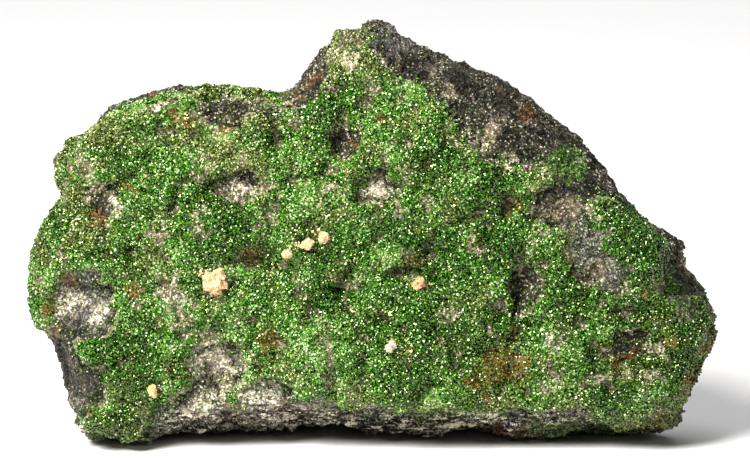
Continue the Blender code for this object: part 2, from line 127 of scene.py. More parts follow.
def lumps(points, cell, octaves=2, shift=0.0):
    """Fractal noise of about -1 to 1 with this cell, points in millimetres."""
    offset = Vector((shift, 1.7 * shift, -shift))
    return np.array([
        noise.fractal(Vector(p) / cell + offset, 0.7, 2.1, octaves) for p in points
    ])


def dishes(points, cell, shift=0.0):
    """Distance to the nearest of scattered centres: dishes with sharp ridges."""
    offset = Vector((shift, -shift, 1.3 * shift))
    return np.array([noise.voronoi(Vector(p) / cell + offset)[0][0] for p in points])


def wander(places):
    """u and v pushed about by noise, so that whatever is drawn there has ragged borders."""
    coarse_push, coarse_cell = 1.2, 3.4
    fine_push, fine_cell = 0.9, 1.1
    return [
        places[:, axis] + coarse_push * lumps(places, coarse_cell, 2, 3.0 + 14.0 * axis)
        + fine_push * lumps(places, fine_cell, 3, 8.0 + 20.0 * axis)
        for axis in (0, 1)
    ]


def zone(where, spots, soft=0.5):
    """1 well inside any of the ellipses, 0 well outside, and soft between."""
    u, v = where
    found = np.zeros(len(u))
    for cu, cv, hu, hv in spots:
        r = np.hypot((u - cu) / (hu + 0.5), (v - cv) / (hv + 0.5))
        found = np.maximum(found, smooth_step(1.0 + soft, 1.0 - soft, r))
    return found


def store(mesh, name, values):
    layer = mesh.attributes.new(name, "FLOAT", "POINT")
    layer.data.foreach_set("value", np.asarray(values, np.float32))


def facing_front(mesh, low=-0.25, high=0.15):
    """1 where the surface looks out of the face, 0 where it looks away."""
    return smooth_step(low, high, normals_of(mesh) @ lean_rows[:, 2])


def stay_inside(points):
    """The dressed specimen keeps to the box of its solid model."""
    return np.clip(points, np.array(cad_low), np.array(cad_high))


def crumble(mesh, shake, seed):
    """Shakes the points and leaves every face flat, as broken or crystalline stone has them."""
    draw = np.random.default_rng(seed)
    points = points_of(mesh)
    set_points(mesh, stay_inside(points + draw.normal(0.0, shake * MM, points.shape)))
    mesh.shade_flat()
    layer = mesh.attributes.new("facet", "FLOAT", "FACE")
    layer.data.foreach_set("value", draw.random(len(mesh.polygons)).astype(np.float32))


def add_object(name, mesh):
    made = bpy.data.objects.new(name, mesh)
    bpy.context.scene.collection.objects.link(made)
    return made


def plain_mesh(obj):
    """The object's mesh with its modifiers worked out."""
    graph = bpy.context.evaluated_depsgraph_get()
    return bpy.data.meshes.new_from_object(obj.evaluated_get(graph))


# %% [markdown]
# ## Where each colour lies
# These are the patches that catch the eye on the real face, each an ellipse:
# centre x, y and half width, half height, in pixels of the photograph.

# %% Patches of bare rock
BARE_PIXELS = from_pixels((
    (228, 114, 20, 11), (232, 128, 12, 5), (212, 165, 8, 7), (238, 193, 24, 6),
    (266, 222, 5, 10), (166, 236, 9, 9), (173, 280, 17, 14), (186, 303, 17, 14),
    (185, 324, 14, 9), (212, 335, 8, 9), (221, 363, 22, 10), (227, 385, 6, 10),
    (214, 410, 20, 14), (269, 390, 12, 16), (265, 410, 20, 10), (331, 367, 4, 20),
    (351, 286, 8, 8), (297, 285, 6, 4), (372, 92, 7, 8), (372, 105, 6, 5),
    (373, 190, 15, 8), (403, 175, 8, 5), (398, 210, 6, 9), (348, 138, 8, 7),
    (376, 243, 4, 4), (412, 251, 7, 5), (472, 245, 4, 12), (345, 42, 20, 12),
    (529, 285, 3, 14), (524, 240, 1, 14), (557, 207, 13, 11), (536, 197, 7, 7),
    (537, 233, 7, 4), (572, 212, 15, 11), (570, 245, 9, 18), (587, 272, 11, 12),
    (610, 288, 9, 7), (620, 310, 4, 5), (672, 262, 11, 11), (678, 300, 8, 22),
    (545, 341, 9, 5), (550, 369, 9, 5), (540, 383, 9, 4), (618, 375, 6, 4),
    (657, 375, 4, 4), (76, 299, 14, 14), (97, 315, 14, 17), (80, 280, 13, 9),
    (72, 256, 4, 3), (50, 275, 4, 4), (55, 335, 7, 10), (66, 372, 10, 26),
    (92, 383, 13, 11), (104, 393, 11, 7), (90, 157, 4, 7), (98, 168, 4, 7),
    (104, 181, 3, 6), (112, 191, 4, 3), (120, 202, 5, 5), (125, 211, 5, 5),
    (317, 80, 20, 17), (290, 107, 6, 8), (350, 66, 13, 5), (163, 110, 4, 3),
    (332, 50, 12, 14),
    (600, 350, 9, 4), (505, 203, 4, 8), (488, 325, 5, 4), (445, 312, 9, 4),
    (248, 168, 4, 12), (262, 186, 14, 4), (205, 180, 12, 4), (560, 240, 4, 14),
    (640, 372, 16, 3), (590, 376, 20, 3), (300, 128, 12, 3), (425, 205, 4, 14),
    (676, 296, 11, 30), (648, 286, 12, 5), (655, 345, 5, 14),
    (145, 300, 4, 16), (205, 225, 4, 14), (255, 262, 14, 4), (330, 190, 16, 3),
))
PALE_PIXELS = from_pixels((
    (76, 300, 9, 11), (107, 318, 4, 6), (221, 362, 20, 8), (227, 386, 5, 9),
    (214, 410, 18, 12), (238, 193, 22, 5), (557, 207, 11, 9), (545, 341, 8, 4),
    (345, 62, 14, 5), (390, 72, 6, 4), (351, 286, 7, 7), (170, 285, 8, 10),
    (387, 71, 5, 5), (450, 94, 5, 4), (358, 66, 18, 5), (480, 142, 7, 7), (507, 163, 6, 5),
    (522, 178, 8, 7), (490, 128, 4, 4), (373, 190, 11, 10), (125, 209, 4, 5),
    (320, 410, 8, 5), (48, 326, 3, 4), (590, 270, 8, 8), (680, 262, 6, 8),
    (98, 165, 5, 9), (104, 184, 4, 9),
    (295, 408, 30, 5), (345, 407, 14, 4), (440, 414, 26, 4), (472, 424, 16, 6), (245, 415, 30, 9),
    (500, 430, 24, 7),
))
STAIN_PIXELS = from_pixels((
    (156, 92, 12, 4), (186, 122, 13, 5), (134, 190, 5, 4), (102, 215, 7, 8),
    (54, 308, 5, 12), (62, 330, 5, 5), (80, 277, 11, 6), (140, 284, 8, 4),
    (273, 337, 11, 11), (382, 124, 7, 5), (492, 370, 12, 9), (523, 360, 4, 14),
    (470, 378, 11, 5), (498, 430, 28, 9), (480, 395, 5, 4), (622, 352, 10, 5),
    (608, 362, 4, 11), (665, 340, 9, 4), (677, 380, 7, 13), (657, 408, 4, 3),
    (706, 345, 12, 24), (510, 206, 5, 12), (255, 254, 15, 9), (352, 144, 5, 4),
    (96, 405, 4, 4), (508, 330, 4, 4), (640, 292, 6, 6), (523, 114, 8, 9),
    (230, 131, 9, 3), (412, 262, 8, 3), (655, 425, 8, 4), (300, 100, 5, 5), (312, 84, 9, 7),
    (500, 362, 24, 16), (712, 330, 7, 40), (690, 385, 10, 20),
))
# places made near black: the lower left side, the sloping top at the right, the right end and along the foot
DARK_PIXELS = from_pixels((
    (66, 372, 10, 30), (100, 385, 14, 14), (455, 84, 10, 5), (508, 88, 10, 7),
    (505, 108, 7, 7), (566, 150, 8, 14), (682, 300, 10, 30),
    (385, 423, 26, 6), (70, 350, 8, 16), (648, 286, 12, 5),
))
SLATE_PIXELS = from_pixels((
    (572, 222, 12, 18), (582, 250, 14, 16), (600, 272, 20, 12), (560, 200, 10, 10), (84, 292, 28, 26),
    (396, 42, 16, 10), (372, 98, 7, 12), (100, 318, 8, 12), (178, 290, 14, 12),
))
# cream patches: pale streaks of rock; the big patch at the lower left is also lightened as painted light,
# brighter than its shaded hollow would be
CREAM_AND_LIT_PIXELS = from_pixels((
    (74, 298, 14, 12), (107, 316, 5, 9), (222, 360, 18, 7), (48, 326, 4, 6), (163, 110, 6, 4),
    (212, 404, 10, 12), (262, 400, 14, 14), (180, 300, 5, 9), (236, 192, 16, 2), (375, 190, 14, 3),
    (120, 207, 3, 4), (387, 71, 3, 3), (545, 341, 8, 4), (320, 409, 22, 3),
))
DUSTED_PIXELS = from_pixels((
    (118, 424, 42, 22), (344, 42, 22, 13), (612, 428, 88, 12), (704, 335, 12, 46),
    (672, 400, 20, 24), (40, 300, 10, 40), (60, 160, 10, 10), (560, 165, 16, 16),
    (640, 215, 20, 10), (240, 92, 50, 6), (150, 395, 14, 12), (420, 405, 30, 4),
    (580, 432, 45, 8), (660, 300, 10, 30),
))

# %% [markdown]
# The green is not one green either. Young growth on the high places is bright,
# dusty crystals are olive, clear ones in the hollows are nearly black, and a few
# small pits lie so deep that little light gets out of them.

# %% Tones of green
BRIGHT_PIXELS = from_pixels((
    (180, 102, 12, 11), (107, 199, 5, 5), (97, 265, 5, 4), (262, 222, 6, 11),
    (405, 98, 22, 15), (458, 178, 16, 12), (388, 257, 7, 16), (318, 350, 20, 24),
    (487, 290, 8, 20), (574, 162, 8, 11), (545, 177, 10, 11), (172, 256, 14, 12),
    (590, 199, 5, 6), (350, 210, 12, 10), (390, 150, 8, 7), (300, 338, 14, 14),
    (58, 268, 5, 5), (435, 400, 10, 8), (160, 262, 10, 8), (175, 345, 14, 10),
    (560, 350, 10, 8), (250, 380, 10, 12), (150, 150, 12, 8),
    (265, 215, 12, 14), (215, 163, 22, 12), (300, 200, 16, 12), (345, 165, 14, 10),
    (142, 106, 14, 8), (130, 300, 10, 12), (215, 300, 14, 12),
    (172, 305, 14, 14), (222, 272, 16, 10), (345, 215, 14, 12), (355, 390, 16, 16),
    (225, 130, 20, 10), (110, 395, 16, 10), (240, 330, 12, 12),
))
OLIVE_PIXELS = from_pixels((
    (62, 160, 13, 14), (250, 108, 13, 22), (248, 168, 13, 13), (125, 388, 11, 7),
    (145, 405, 8, 6), (385, 408, 15, 7), (350, 38, 22, 14), (210, 93, 20, 8),
    (270, 120, 11, 9), (420, 410, 15, 7), (120, 430, 34, 16), (640, 420, 40, 9),
    (100, 225, 14, 18), (45, 240, 10, 14), (105, 135, 26, 14), (335, 85, 12, 14), (80, 200, 14, 16),
    (190, 140, 16, 10), (560, 410, 30, 10), (370, 60, 14, 16), (150, 255, 14, 12),
    (335, 50, 24, 22), (490, 400, 20, 12), (355, 392, 14, 12), (225, 150, 16, 14), (625, 360, 24, 16),
))
DEEP_PIXELS = from_pixels((
    (222, 228, 38, 28), (125, 160, 12, 8), (110, 418, 26, 12), (338, 98, 9, 20), (318, 116, 17, 7),
    (130, 358, 22, 32), (282, 139, 7, 7), (455, 278, 15, 13), (405, 370, 24, 18),
    (500, 178, 11, 11), (330, 300, 18, 12), (430, 322, 20, 14),
    (570, 300, 18, 22), (600, 395, 22, 12), (440, 165, 16, 12), (400, 225, 18, 14),
    (460, 345, 22, 14), (680, 330, 16, 40), (350, 255, 16, 9), (60, 225, 10, 12), (136, 252, 11, 11),
    (495, 235, 18, 34), (620, 240, 24, 26), (640, 290, 24, 24), (600, 215, 18, 12),
    (440, 265, 16, 26), (655, 350, 22, 26), (500, 320, 16, 12),
    (370, 330, 14, 16), (480, 370, 22, 12), (420, 345, 14, 12), (704, 340, 16, 50),
))
PIT_PIXELS = from_pixels((
    (186, 215, 4, 4), (255, 254, 15, 6), (282, 139, 5, 5), (352, 143, 4, 4),
    (494, 191, 7, 3), (504, 206, 4, 7), (407, 271, 9, 3), (340, 293, 4, 4),
    (475, 165, 13, 3), (600, 350, 10, 3), (126, 418, 4, 3), (165, 405, 5, 6),
    (320, 230, 5, 4), (436, 300, 6, 4), (590, 250, 5, 5), (204, 330, 4, 6),
))
print(len(BARE_PIXELS), "bare patches,", len(STAIN_PIXELS), "stains")

# %% [markdown]
# ## The block of rock
# Chromite rock breaks with a rough, granular surface. The solid is a copy of the
# CAD block, merged and subdivided, whose skin is then pushed in and out by noise
# of several sizes. Nothing moves where it stands on the ground, so it still
# rests on its own flat spots.

# %% Helpers for finer copies of the solids
WELD = 0.000002  # metres: corners nearer than this are one


def finer_copy(node):
    """A merged and twice subdivided copy of a CAD node's mesh."""
    copy = add_object(node + "_fine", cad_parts[node].data.copy())
    welded = bmesh.new()
    welded.from_mesh(copy.data)
    bmesh.ops.remove_doubles(welded, verts=welded.verts, dist=WELD)
    welded.to_mesh(copy.data)
    welded.free()
    finer = copy.modifiers.new("finer", "SUBSURF")
    finer.levels = finer.render_levels = 2
    mesh = plain_mesh(copy)
    bpy.data.objects.remove(copy)
    for layer in ("custom_normal", "sharp_face", "sharp_edge"):
        if layer in mesh.attributes:
            mesh.attributes.remove(mesh.attributes[layer])
    mesh.materials.clear()
    mesh.shade_smooth()
    return mesh


def thin_hidden(mesh, hidden, keep):
    """The same mesh with fewer faces where it is covered by something else for good."""
    host = add_object("thinned", mesh)
    group = host.vertex_groups.new(name="hidden")
    group.add([int(number) for number in np.flatnonzero(hidden)], 1.0, "REPLACE")
    fewer = host.modifiers.new("fewer", "DECIMATE")
    fewer.ratio, fewer.vertex_group, fewer.vertex_group_factor = keep, group.name, 10.0
    thinned = plain_mesh(host)
    bpy.data.objects.remove(host)
    return thinned


def triangles_of(mesh):
    mesh.calc_loop_triangles()
    return len(mesh.loop_triangles)


# %% How near the two solids are, and where the edge of the crust runs
def solid_tree(node):
    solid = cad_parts[node].data
    corners = [corner.co for corner in solid.vertices]
    return BVHTree.FromPolygons(corners, [tuple(face.vertices) for face in solid.polygons])


def crust_distance(points):
    """How far each point is from the crust solid, in millimetres."""
    tree = solid_tree("uvarovite_druse")
    return np.array([tree.find_nearest(Vector(p))[3] for p in points]) / MM


def over_rock(points):
    """The height of each point over the CAD block in millimetres, and the block's normal there."""
    tree = solid_tree("chromite_matrix")
    hits = [tree.find_nearest(Vector(p)) for p in points]
    return np.array([hit[3] for hit in hits]) / MM, np.array([hit[1] for hit in hits])


RIM_LOW, RIM_HIGH = 0.50, 0.85  # millimetres over the block, between which the edge lies


def rim_tree():
    """A tree of the points along the crust's outer edge."""
    points = points_of(finer_copy("uvarovite_druse"))
    heights, _ = over_rock(points)
    rim = points[(heights > RIM_LOW) & (heights < RIM_HIGH)]
    tree = KDTree(len(rim))
    for number, place in enumerate(rim):
        tree.insert(place, number)
    tree.balance()
    return tree


rim = rim_tree()


def rim_distance(points):
    """How far each point is from that edge, in millimetres."""
    return np.array([rim.find(p)[2] for p in points]) / MM


# %% Push the skin of the block in and out
COARSE_GRAIN, FINE_GRAIN = 0.36, 0.26  # heights in millimetres
CHIPS, LAYERS = 0.7, 1.5
FLAT_LYING = (0.3, 1.7, 0.8)  # squeezes the noise, so that the layers of the foot lie flat
FOOT_FADES_OUT, FOOT_TOP = 6.0, 3.5  # millimetres up the face
UNDER_CRUST, FROM_RIM = 0.55, 4.0  # rock this near the crust and this far from its rim is hidden

rock_mesh = finer_copy("chromite_matrix")
points = points_of(rock_mesh)
under_crust = (crust_distance(points) < UNDER_CRUST) & (rim_distance(points) > FROM_RIM)
rock_mesh = thin_hidden(rock_mesh, under_crust, keep=0.72)
points = points_of(rock_mesh)
places = to_face(points)
grounded = smooth_step(0.2, 1.6, points[:, 2] / MM)
grain = COARSE_GRAIN * lumps(places, 2.4, 3, 1.0) + FINE_GRAIN * lumps(places, 1.0, 2, 5.0)
chips = CHIPS * (dishes(places, 3.0, 2.0) - 0.5)
ragged_height = places[:, 1] + 0.8 * lumps(places, 2.0, 2, 47.0)
near_foot = smooth_step(FOOT_FADES_OUT, FOOT_TOP, ragged_height)
layered = LAYERS * lumps(places * FLAT_LYING, 1.5, 3, 37.0) * near_foot
relief = grain + chips + layered
in_front = smooth_step(-16.0, -8.0, places[:, 2]) * facing_front(rock_mesh)
points += normals_of(rock_mesh) * (relief * grounded * MM)[:, None]
set_points(rock_mesh, points)
# the relief is also read by the rock's finish, to paint shade into its hollows
store(rock_mesh, "relief", smooth_step(-0.7, 0.7, relief))
crumble(rock_mesh, shake=0.12, seed=1)
print("rock:", triangles_of(rock_mesh), "triangles")


# %% Store where the rock is pale, stained or dusted with green
def store_kinds(mesh, where, share=1.0):
    """Where the rock is made near black, slate grey or creamy, the cream partly painted light, with how soft
    the borders are.
    """
    for name, spots, soft in (
        ("dark", DARK_PIXELS, 0.6), ("slate", SLATE_PIXELS, 0.6), ("cream", CREAM_AND_LIT_PIXELS, 0.7)
    ):
        store(mesh, name, zone(where, spots, soft) * share)


where = wander(places)
patina = 0.5 + 0.5 * lumps(places, 8.0, 3, 12.0)
stain = np.maximum(0.8 * zone(where, STAIN_PIXELS) * in_front, 0.45 * smooth_step(0.70, 1.0, patina))
pale_spots = 0.35 * smooth_step(0.35, 0.9, lumps(places, 3.5, 2, 71.0))
store(rock_mesh, "pale", np.maximum(zone(where, PALE_PIXELS) * in_front, pale_spots))
store(rock_mesh, "stain", stain)
store_kinds(rock_mesh, where, in_front)
dusted = zone(where, DUSTED_PIXELS, 0.6) * in_front
store(rock_mesh, "dusted", dusted)
store(rock_mesh, "lower_rim", near_foot * smooth_step(-4.0, 2.0, places[:, 2]))
rock = add_object("broken_chromite_rock", rock_mesh)

# %% [markdown]
# ## The bed of the druse
# Between the crystals one sees the tops of others that are packed below them.
# A continuous bed of green stands for those, darker than the crystals as painted
# shade between them: a copy of the crust solid, subdivided, raised into small
# cauliflower lumps, sunk where rock shows through.

# %% Sink the rim of the crust into the rock
RIM_SINK, RIM_WIDTH = 1.5, 2.2  # millimetres
TOUCHING_ROCK = 0.45  # the crust's underside is nearer the block than this
bed_mesh = finer_copy("uvarovite_druse")
points = points_of(bed_mesh)
underside = (over_rock(points)[0] < TOUCHING_ROCK) & (rim_distance(points) > 2.5)
bed_mesh = thin_hidden(bed_mesh, underside, keep=0.65)
points = points_of(bed_mesh)
heights, outwards = over_rock(points)
outer = smooth_step(0.65, 1.0, heights)
sunk = smooth_step(RIM_WIDTH, 0.0, rim_distance(points))
points -= outwards * (RIM_SINK * sunk * MM)[:, None]
print("rim sunk over", RIM_WIDTH, "mm")

# %% Raise it into small lumps
SMOOTHED_OFF = 0.35  # millimetres that subdividing takes off the corners
LUMPS, FINE_LUMPS = 0.36, 0.20  # heights in millimetres
CAULIFLOWER, FINE_CAULIFLOWER = 0.5, 0.35
PIT_DEPTH = 1.1
places = to_face(points)
where = wander(places)
bare = zone(where, BARE_PIXELS, 0.6)
cells = dishes(places + 0.8 * lumps(places, 2.5, 2, 3.0)[:, None], 5.5, 9.0)
webs = smooth_step(0.62, 0.86, cells) * smooth_step(-0.3, 0.5, lumps(places, 14.0, 2, 55.0))
swell = LUMPS * lumps(places, 2.6, 2, 14.0) + FINE_LUMPS * lumps(places, 0.9, 2, 6.0)
swell += CAULIFLOWER * (0.5 - cells) + FINE_CAULIFLOWER * (0.55 - dishes(places, 1.9, 9.0))
rise = SMOOTHED_OFF + swell * (1.0 - 0.4 * bare) - PIT_DEPTH * zone(where, PIT_PIXELS, 0.6)
points += normals_of(bed_mesh) * (rise * outer * (1.0 - sunk) * MM)[:, None]
set_points(bed_mesh, points)
crumble(bed_mesh, shake=0.09, seed=2)
print("bed:", triangles_of(bed_mesh), "triangles")

# %% [markdown]
# Tone runs from 0, nearly black green, to 1, bright green. Olive is how dusty a
# place is, and bare is where rock shows instead of green. The crystals inherit
# all of these from the surface that they grow on.

# %% Store the tones of green
def store_tones(mesh, places, where, dust, speckled):
    """The garnet's tone and how olive it is, for crystals that grow on this mesh."""
    middle, coarse, fine = 0.31, 0.26, 0.20
    brighter, deeper = 0.29, 0.40
    tone = middle + coarse * lumps(places, 5.0, 2, 22.0) + fine * lumps(places, 1.8, 2, 31.0)
    deep = zone(where, DEEP_PIXELS, 0.7)
    tone += brighter * zone(where, BRIGHT_PIXELS, 0.8) - deeper * deep
    cloudy = 0.8 * smooth_step(-0.1, 0.7, lumps(places, 4.0, 3, 44.0))
    olive = np.maximum(zone(where, OLIVE_PIXELS, 0.8), cloudy)
    olive = np.clip((1.0 - 0.6 * deep) * (np.maximum(olive, 0.7 * dust) + 0.5 * speckled), 0.0, 1.0)
    tone = np.clip(tone, 0.0, 1.0)
    store(mesh, "tone", tone)
    store(mesh, "olive", olive)
    return tone, olive


speckled = 0.5 * lumps(places, 1.1, 3, 91.0)
mottled = 0.4 * smooth_step(0.2, 0.9, lumps(places, 2.6, 3, 65.0))
edges = 0.72 * smooth_step(0.2, 0.6, sunk)
bare = np.maximum.reduce([0.95 * bare, 0.75 * webs, mottled, edges])
bare = smooth_step(0.35, 1.05, bare + 1.2 * speckled)
tone, olive = store_tones(bed_mesh, places, where, bare, speckled)
rusty = 0.55 * smooth_step(0.0, 0.8, lumps(places, 4.5, 3, 83.0))
store(bed_mesh, "stain", np.maximum(zone(where, STAIN_PIXELS, 0.8), rusty))
store(bed_mesh, "bare", bare)
store(bed_mesh, "pale", zone(where, PALE_PIXELS, 0.7))
store_kinds(bed_mesh, where)
above = outer * facing_front(bed_mesh) * (1.0 - smooth_step(0.35, 0.8, sunk))
covered = above * (1.0 - 0.88 * smooth_step(0.35, 1.0, bare))
bed = add_object("druse_bed", bed_mesh)
print("bare rock on", round(100 * float(bare.mean())), "% of the bed's points")

# %% [markdown]
# ## Wiring nodes
# Crystals are scattered by one node tree and coloured by others. Trees are long
# to write in a script, so a small class adds a node, sets or links its sockets
# by name, and hands back the output that is wanted, all in one line.

# %% A short way to build node trees
class Wiring:
    """Adds nodes to a tree. Sockets are given by name, or as i0, i1 and so on by number."""

    def __init__(self, tree):
        self.tree = tree

    def add(self, kind, settings=None, out=0, **sockets):
        node = self.tree.nodes.new(kind)
        for name, value in (settings or {}).items():
            setattr(node, name, value)
        for name, value in sockets.items():
            key = int(name[1:]) if name[0] == "i" and name[1:].isdigit() else name.replace("_", " ")
            if isinstance(value, bpy.types.NodeSocket):
                self.link(value, node.inputs[key])
            else:
                node.inputs[key].default_value = value
        return node.outputs[out]

    def link(self, output, socket):
        self.tree.links.new(output, socket)

    def group(self, tree, **sockets):
        """One of the shared effects: all its outputs, by name."""
        return self.add("ShaderNodeGroup", {"node_tree": tree}, **sockets).node.outputs

    def math(self, operation, a, b=0.0, clamp=False):
        return self.add("ShaderNodeMath", {"operation": operation, "use_clamp": clamp}, i0=a, i1=b)

    def plus(self, a, b):
        return self.math("ADD", a, b)

    def minus(self, a, b):
        return self.math("SUBTRACT", a, b)

    def times(self, a, b):
        return self.math("MULTIPLY", a, b)

    def vector(self, operation, a, **more):
        return self.add("ShaderNodeVectorMath", {"operation": operation}, i0=a, **more)

    def blend(self, share, a, b):
        return self.add("ShaderNodeMix", {"data_type": "RGBA"}, out=2, i0=share, i6=a, i7=b)

    def noise(self, where, scale, detail=2.0, rough=0.5):
        """Scale is in cells per metre: 1000 gives lumps of a millimetre."""
        return self.add("ShaderNodeTexNoise", Vector=where, Scale=scale, Detail=detail, Roughness=rough)

    def step(self, value, low, high, bottom=0.0, top=1.0):
        return self.add(
            "ShaderNodeMapRange", {"interpolation_type": "SMOOTHSTEP"},
            Value=value, i1=low, i2=high, i3=bottom, i4=top,
        )

    def attribute(self, name):
        return self.add("ShaderNodeAttribute", {"attribute_name": name}, out=2)

    def object_place(self):
        """Object coordinates, in metres."""
        return self.add("ShaderNodeTexCoord", out=3)


SOCKETS = {
    "shape": "NodeSocketGeometry", "object": "NodeSocketObject", "finish": "NodeSocketMaterial",
    "text": "NodeSocketString", "count": "NodeSocketInt", "value": "NodeSocketFloat",
    "colour": "NodeSocketColor", "vector": "NodeSocketVector",
}


def new_tree(name, kind, inputs, outputs):
    """An empty node group with these named sockets: its wiring, what it is given and its results."""
    tree = bpy.data.node_groups.new(name, kind)
    for label, socket_kind, *value in inputs:
        socket = tree.interface.new_socket(label, in_out="INPUT", socket_type=SOCKETS[socket_kind])
        if value:
            socket.default_value = value[0]
    for label, socket_kind in outputs:
        tree.interface.new_socket(label, in_out="OUTPUT", socket_type=SOCKETS[socket_kind])
    given = tree.nodes.new("NodeGroupInput").outputs
    result = tree.nodes.new("NodeGroupOutput").inputs
    return Wiring(tree), given, result


# %% [markdown]
# ## The crystals
# Uvarovite grows as rhombic dodecahedra: twelve equal rhombs. One such crystal is
# the hull of the eight corners of a cube and six points over its faces. Only two
# or three faces of the smaller ones can be seen, so plain cubes stand for those.
# Geometry Nodes scatter them over the bed, turned at random. Every flat face then
# sends the light its own way, which is what makes a druse glitter.

# %% One garnet crystal, and a plainer one for the small growths
def scatter_shape(name, shape):
    """The small shape as an object that can be scattered."""
    bmesh.ops.recalc_face_normals(shape, faces=shape.faces)
    mesh = bpy.data.meshes.new(name)
    shape.to_mesh(mesh)
    shape.free()
    return add_object(name, mesh)


def garnet_crystal():
    """A rhombic dodecahedron one unit across its longer axes."""
    shape = bmesh.new()
    for x in (-1, 1):
        for y in (-1, 1):
            for z in (-1, 1):
                shape.verts.new((0.25 * x, 0.25 * y, 0.25 * z))
    for axis in range(3):
        for side in (-0.5, 0.5):
            tip = [0.0, 0.0, 0.0]
            tip[axis] = side
            shape.verts.new(tip)
    bmesh.ops.convex_hull(shape, input=shape.verts)
    bmesh.ops.dissolve_limit(shape, angle_limit=0.02, verts=shape.verts, edges=shape.edges)
    return scatter_shape("garnet_crystal", shape)


def sugar_crystal():
    """A cube of about the same size."""
    shape = bmesh.new()
    bmesh.ops.create_cube(shape, size=0.8)
    return scatter_shape("sugar_crystal", shape)


crystal, sugar = garnet_crystal(), sugar_crystal()
print("faces of a crystal:", len(crystal.data.polygons), "or", len(sugar.data.polygons))


# %% The tree that scatters crystals
def scatter_tree():
    """Crystals on a surface, as many as its growth attribute allows."""
    w, given, result = new_tree(
        "crystals_on_a_surface", "GeometryNodeTree",
        (("Geometry", "shape"), ("Crystal", "object"), ("Finish", "finish"), ("Spacing", "value"),
         ("Most per area", "value"), ("Smallest", "value"), ("Largest", "value"), ("Growth", "text"),
         ("Seed", "count")),
        (("Geometry", "shape"),),
    )
    growth = w.add("GeometryNodeInputNamedAttribute", {"data_type": "FLOAT"}, Name=given["Growth"])
    spread = w.add(
        "GeometryNodeDistributePointsOnFaces", {"distribute_method": "POISSON"},
        Mesh=given["Geometry"], Distance_Min=given["Spacing"], Density_Max=given["Most per area"],
        Density_Factor=growth, Seed=given["Seed"],
    )
    size = w.add(
        "FunctionNodeRandomValue", {"data_type": "FLOAT"}, 1,
        i2=given["Smallest"], i3=given["Largest"], Seed=given["Seed"],
    )
    full_turn = (2 * math.pi,) * 3
    turn = w.add(
        "FunctionNodeRandomValue", {"data_type": "FLOAT_VECTOR"}, 0, i1=full_turn, Seed=given["Seed"]
    )
    other_seed = w.plus(given["Seed"], 17)
    chance = w.add("FunctionNodeRandomValue", {"data_type": "FLOAT"}, 1, Seed=other_seed)

    lift = w.vector("SCALE", spread.node.outputs["Normal"], Scale=w.times(size, 0.2))
    raised = w.add("GeometryNodeSetPosition", Geometry=spread, Offset=lift)
    shape = w.add("GeometryNodeObjectInfo", {}, "Geometry", Object=given["Crystal"])
    placed = w.add(
        "GeometryNodeInstanceOnPoints", Points=raised, Instance=shape, Rotation=turn, Scale=size
    )
    marked = w.add(
        "GeometryNodeStoreNamedAttribute", {"data_type": "FLOAT", "domain": "INSTANCE"},
        Geometry=placed, Name="chance", Value=chance,
    )
    real = w.add("GeometryNodeRealizeInstances", Geometry=marked)
    facet = w.add("FunctionNodeRandomValue", {"data_type": "FLOAT"}, 1, Seed=given["Seed"])
    faceted = w.add(
        "GeometryNodeStoreNamedAttribute", {"data_type": "FLOAT", "domain": "FACE"},
        Geometry=real, Name="facet", Value=facet,
    )
    finished = w.add("GeometryNodeSetMaterial", Geometry=faceted, Material=given["Finish"])
    w.link(finished, result[0])
    return w.tree


crystals_on_a_surface = scatter_tree()
print("tree:", crystals_on_a_surface.name, "with", len(crystals_on_a_surface.nodes), "nodes")

# %% [markdown]
# ## Finishes
# Every finish is a Principled material fed by noise in object space and by the
# zone attributes. A few effects are used by more than one finish, so each is a
# node group: mineral grain, glitter, iron staining and the tone of the garnet
# with its painted glint.

# %% Colours and materials
def colour(r, g, b):
    """An sRGB colour given from 0 to 255, as Blender's linear one."""
    linear = [((c / 255 + 0.055) / 1.055) ** 2.4 if c > 10 else c / 255 / 12.92 for c in (r, g, b)]
    return (*linear, 1.0)


def finish(name, roughness, ior=1.5, **fixed):
    """A Principled material, and the wiring of its tree."""
    made = bpy.data.materials.new(name)
    made.use_nodes = True
    shader = made.node_tree.nodes["Principled BSDF"]
    shader.inputs["Roughness"].default_value = roughness
    shader.inputs["IOR"].default_value = ior
    for label, value in fixed.items():
        shader.inputs[label.replace("_", " ")].default_value = value
    return made, shader.inputs, Wiring(made.node_tree)


# %% Mineral grain: specks of three colours, finer than half a millimetre
def mineral_grain():
    w, given, result = new_tree(
        "mineral_grain", "ShaderNodeTree",
        (("Where", "vector"), ("Grain", "value", 5000.0), ("Dark", "colour"), ("Middle", "colour"),
         ("Light", "colour"), ("Light share", "value", 0.3)),
        (("Colour", "colour"), ("Height", "value")),
    )
    coarse = w.noise(given["Where"], 260.0, 6.0, 0.72)
    specks = w.add("ShaderNodeTexVoronoi", {}, 1, Vector=given["Where"], Scale=given["Grain"])
    split = w.add("ShaderNodeSeparateColor", i0=specks).node
    body = w.blend(w.step(coarse, 0.36, 0.62), given["Dark"], given["Middle"])
    body = w.blend(w.step(split.outputs[0], 0.45, 0.8), body, given["Dark"])
    crack_width = 0.022  # in the values of the noise, whose middle the cracks follow
    vein = w.math("ABSOLUTE", w.minus(w.noise(given["Where"], 330.0, 4.0, 0.6), 0.5))
    crack = w.step(vein, 0.0, crack_width, 0.75, 0.0)
    body = w.blend(crack, body, colour(14, 13, 10))
    lit = w.plus(w.times(split.outputs[1], 0.8), w.times(coarse, 0.5))
    low = w.minus(1.05, given["Light share"])
    lit = w.step(w.minus(lit, low), -0.06, 0.10)
    w.link(w.blend(lit, body, given["Light"]), result["Colour"])
    height = w.plus(w.times(split.outputs[0], -0.7), w.times(coarse, 1.2))
    height = w.minus(height, w.times(crack, 1.5))
    w.link(height, result["Height"])
    return w.tree


